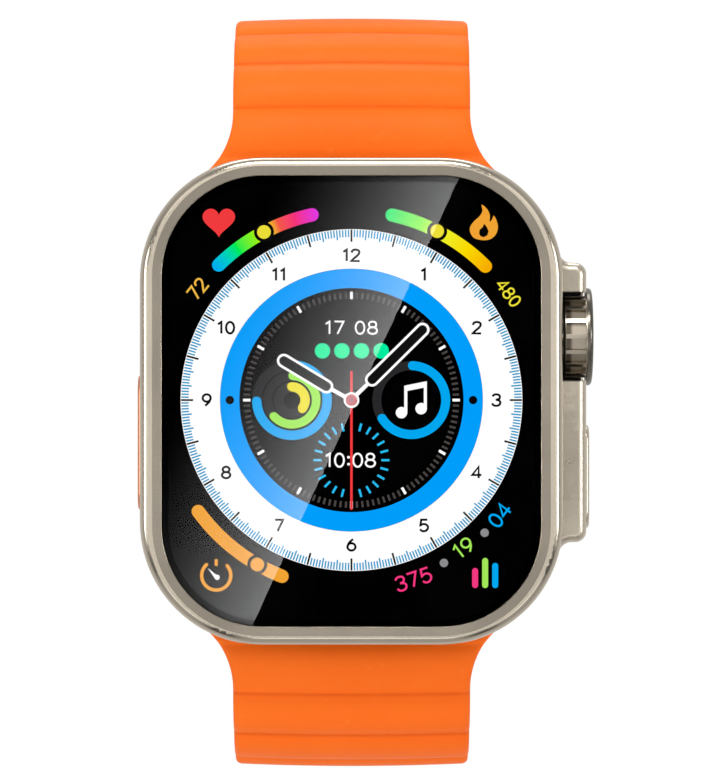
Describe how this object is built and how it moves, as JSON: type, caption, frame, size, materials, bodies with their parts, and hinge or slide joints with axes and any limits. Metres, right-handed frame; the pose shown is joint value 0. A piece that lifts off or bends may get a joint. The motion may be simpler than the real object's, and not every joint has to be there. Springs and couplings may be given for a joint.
{
  "type": "gps running watch",
  "caption": "Rounded-rectangle running watch with a flat glass dial, guarded crown, side button, orange action button and a ribbed magnetic silicone strap closed in a loop.",
  "frame": {"origin": "centre of the flat rear sensor crystal, on the face that touches the wrist", "axes": "+Y out of the back of the case into the wrist, so the dial faces -Y; +Z towards 12 o'clock; +X towards 3 o'clock, the crown side"},
  "size_m": [0.0455, 0.0599, 0.0778],
  "materials": {
    "titanium": "satin, warm grey titanium",
    "titanium_bezel": "polished crest with satin side",
    "orange_metal": "satin, orange tint",
    "dark_metal": "satin",
    "steel": "satin",
    "sapphire_glass": "polished, clear",
    "display": "gloss black with a lit dial",
    "crystal": "polished, nearly black",
    "back_ceramic": "gloss, near black",
    "silicone": "matt orange",
    "seal_rubber": "matt",
    "circuit_board": "matt",
    "battery_foil": "satin",
    "antenna_ceramic": "matt",
    "black_plastic": "matt",
    "copper_coil": "lacquered winding",
    "led_lens": "clear lens",
    "magnet": "nickel plate"
  },
  "bodies": {
    "case": {"action_button_switch": "steel", "back_cover": "back_ceramic", "back_screws": "steel", "battery": "battery_foil", "board_shield": "steel", "case_body": "titanium", "charging_coil": "copper_coil", "cover_gasket": "seal_rubber", "cover_glass": "sapphire_glass", "crown_sensor_board": "circuit_board", "crown_switch": "steel", "crown_tube": "titanium", "display_frame": "steel", "display_panel": "display", "front_bezel": "titanium_bezel", "glass_gasket": "seal_rubber", "gps_antenna": "antenna_ceramic", "haptic_housing": "steel", "main_board": "circuit_board", "microphone": "steel", "photodiodes": "black_plastic", "sensor_board": "circuit_board", "sensor_crystal": "crystal", "sensor_leds": "led_lens", "side_button_switch": "steel", "speaker_module": "black_plastic"},
    "crown_push": {"crown_thrust_pad": "steel"},
    "crown_turn": {"crown": "titanium", "crown_cap": "dark_metal", "crown_shaft": "steel", "crown_seals": "seal_rubber", "crown_clip": "steel", "encoder_wheel": "black_plastic"},
    "side_button": {"side_button": "titanium", "side_button_plungers": "steel", "side_button_seals": "seal_rubber"},
    "action_button": {"action_button": "orange_metal", "action_button_plungers": "steel", "action_button_seals": "seal_rubber"},
    "haptic_mass": {"haptic_mass": "dark_metal"},
    "upper_release": {"upper_release_button": "titanium"},
    "upper_lock": {"upper_lock_pin": "steel"},
    "upper_connector": {"upper_lug": "titanium", "upper_strap_collar": "silicone"},
    "upper_link_1": {"upper_strap_1": "silicone"},
    "upper_link_2": {"upper_strap_2": "silicone"},
    "upper_link_3": {"upper_strap_3": "silicone", "upper_magnets_3": "magnet"},
    "upper_link_4": {"upper_strap_4": "silicone", "upper_magnets_4": "magnet"},
    "lower_release": {"lower_release_button": "titanium"},
    "lower_lock": {"lower_lock_pin": "steel"},
    "lower_connector": {"lower_lug": "titanium", "lower_strap_collar": "silicone"},
    "lower_link_1": {"lower_strap_1": "silicone"},
    "lower_link_2": {"lower_strap_2": "silicone"},
    "lower_link_3": {"lower_strap_3": "silicone", "lower_magnets_3": "magnet"},
    "lower_link_4": {"lower_strap_4": "silicone", "lower_magnets_4": "magnet"}
  },
  "joints": [
    {"name": "crown_press", "type": "slide", "parent": "case", "child": "crown_push", "axis": [-1, 0, 0], "range_m": [0, 0.00035], "stiffness_N_per_m": 5000},
    {"name": "crown_turn", "type": "hinge", "parent": "crown_push", "child": "crown_turn", "pos_m": [0.021, -0.0075, 0.00645], "axis": [1, 0, 0], "continuous": true},
    {"name": "side_button_press", "type": "slide", "parent": "case", "child": "side_button", "axis": [-1, 0, 0], "range_m": [0, 0.0003], "stiffness_N_per_m": 6000},
    {"name": "action_button_press", "type": "slide", "parent": "case", "child": "action_button", "axis": [1, 0, 0], "range_m": [0, 0.0003], "stiffness_N_per_m": 6000},
    {"name": "haptic_shake", "type": "slide", "parent": "case", "child": "haptic_mass", "axis": [1, 0, 0], "range_m": [-0.0006, 0.0006], "stiffness_N_per_m": 3500},
    {"name": "upper_release", "type": "slide", "parent": "case", "child": "upper_release", "axis": [0, -1, 0], "range_m": [0, 0.0005], "stiffness_N_per_m": 2000},
    {"name": "upper_band_slide", "type": "slide", "parent": "case", "child": "upper_connector", "axis": [1, 0, 0], "range_m": [0, 0.036]},
    {"name": "upper_lock", "type": "slide", "parent": "upper_connector", "child": "upper_lock", "axis": [0, -1, 0], "range_m": [0, 0.0003]},
    {"name": "lower_release", "type": "slide", "parent": "case", "child": "lower_release", "axis": [0, -1, 0], "range_m": [0, 0.0005], "stiffness_N_per_m": 2000},
    {"name": "lower_band_slide", "type": "slide", "parent": "case", "child": "lower_connector", "axis": [1, 0, 0], "range_m": [0, 0.036]},
    {"name": "lower_lock", "type": "slide", "parent": "lower_connector", "child": "lower_lock", "axis": [0, -1, 0], "range_m": [0, 0.0003]},
    {"name": "lower_flex_1", "type": "hinge", "parent": "lower_connector", "child": "lower_link_1", "pos_m": [0, -0.00581, -0.02965], "axis": [-1, 0, 0], "range_deg": [0, 25], "stiffness_Nm_per_rad": 0.12},
    {"name": "lower_flex_2", "type": "hinge", "parent": "lower_link_1", "child": "lower_link_2", "pos_m": [0, 0.00765, -0.0372], "axis": [-1, 0, 0], "range_deg": [0, 25], "stiffness_Nm_per_rad": 0.12},
    {"name": "lower_flex_3", "type": "hinge", "parent": "lower_link_2", "child": "lower_link_3", "pos_m": [0, 0.02857, -0.03155], "axis": [-1, 0, 0], "range_deg": [0, 25], "stiffness_Nm_per_rad": 0.12},
    {"name": "lower_flex_4", "type": "hinge", "parent": "lower_link_3", "child": "lower_link_4", "pos_m": [0, 0.04247, -0.01494], "axis": [-1, 0, 0], "range_deg": [0, 25], "stiffness_Nm_per_rad": 0.12},
    {"name": "upper_flex_1", "type": "hinge", "parent": "upper_connector", "child": "upper_link_1", "pos_m": [0, -0.00596, 0.02969], "axis": [1, 0, 0], "range_deg": [0, 20], "stiffness_Nm_per_rad": 0.12},
    {"name": "upper_flex_2", "type": "hinge", "parent": "upper_link_1", "child": "upper_link_2", "pos_m": [0, 0.00651, 0.03914], "axis": [1, 0, 0], "range_deg": [0, 20], "stiffness_Nm_per_rad": 0.12},
    {"name": "upper_flex_3", "type": "hinge", "parent": "upper_link_2", "child": "upper_link_3", "pos_m": [0, 0.02725, 0.03309], "axis": [1, 0, 0], "range_deg": [0, 20], "stiffness_Nm_per_rad": 0.12},
    {"name": "upper_flex_4", "type": "hinge", "parent": "upper_link_3", "child": "upper_link_4", "pos_m": [0, 0.04013, 0.01572], "axis": [1, 0, 0], "range_deg": [0, 20], "stiffness_Nm_per_rad": 0.12}
  ],
  "couplings": [
    {"joint": "lower_flex_2", "follows": "lower_flex_1", "ratio": 1},
    {"joint": "lower_flex_3", "follows": "lower_flex_1", "ratio": 1},
    {"joint": "lower_flex_4", "follows": "lower_flex_1", "ratio": 1},
    {"joint": "upper_flex_1", "follows": "lower_flex_1", "ratio": 0.8},
    {"joint": "upper_flex_2", "follows": "lower_flex_1", "ratio": 0.8},
    {"joint": "upper_flex_3", "follows": "lower_flex_1", "ratio": 0.8},
    {"joint": "upper_flex_4", "follows": "lower_flex_1", "ratio": 0.8},
    {"joint": "upper_lock", "follows": "upper_release", "ratio": 0.6},
    {"joint": "lower_lock", "follows": "lower_release", "ratio": 0.6}
  ]
}
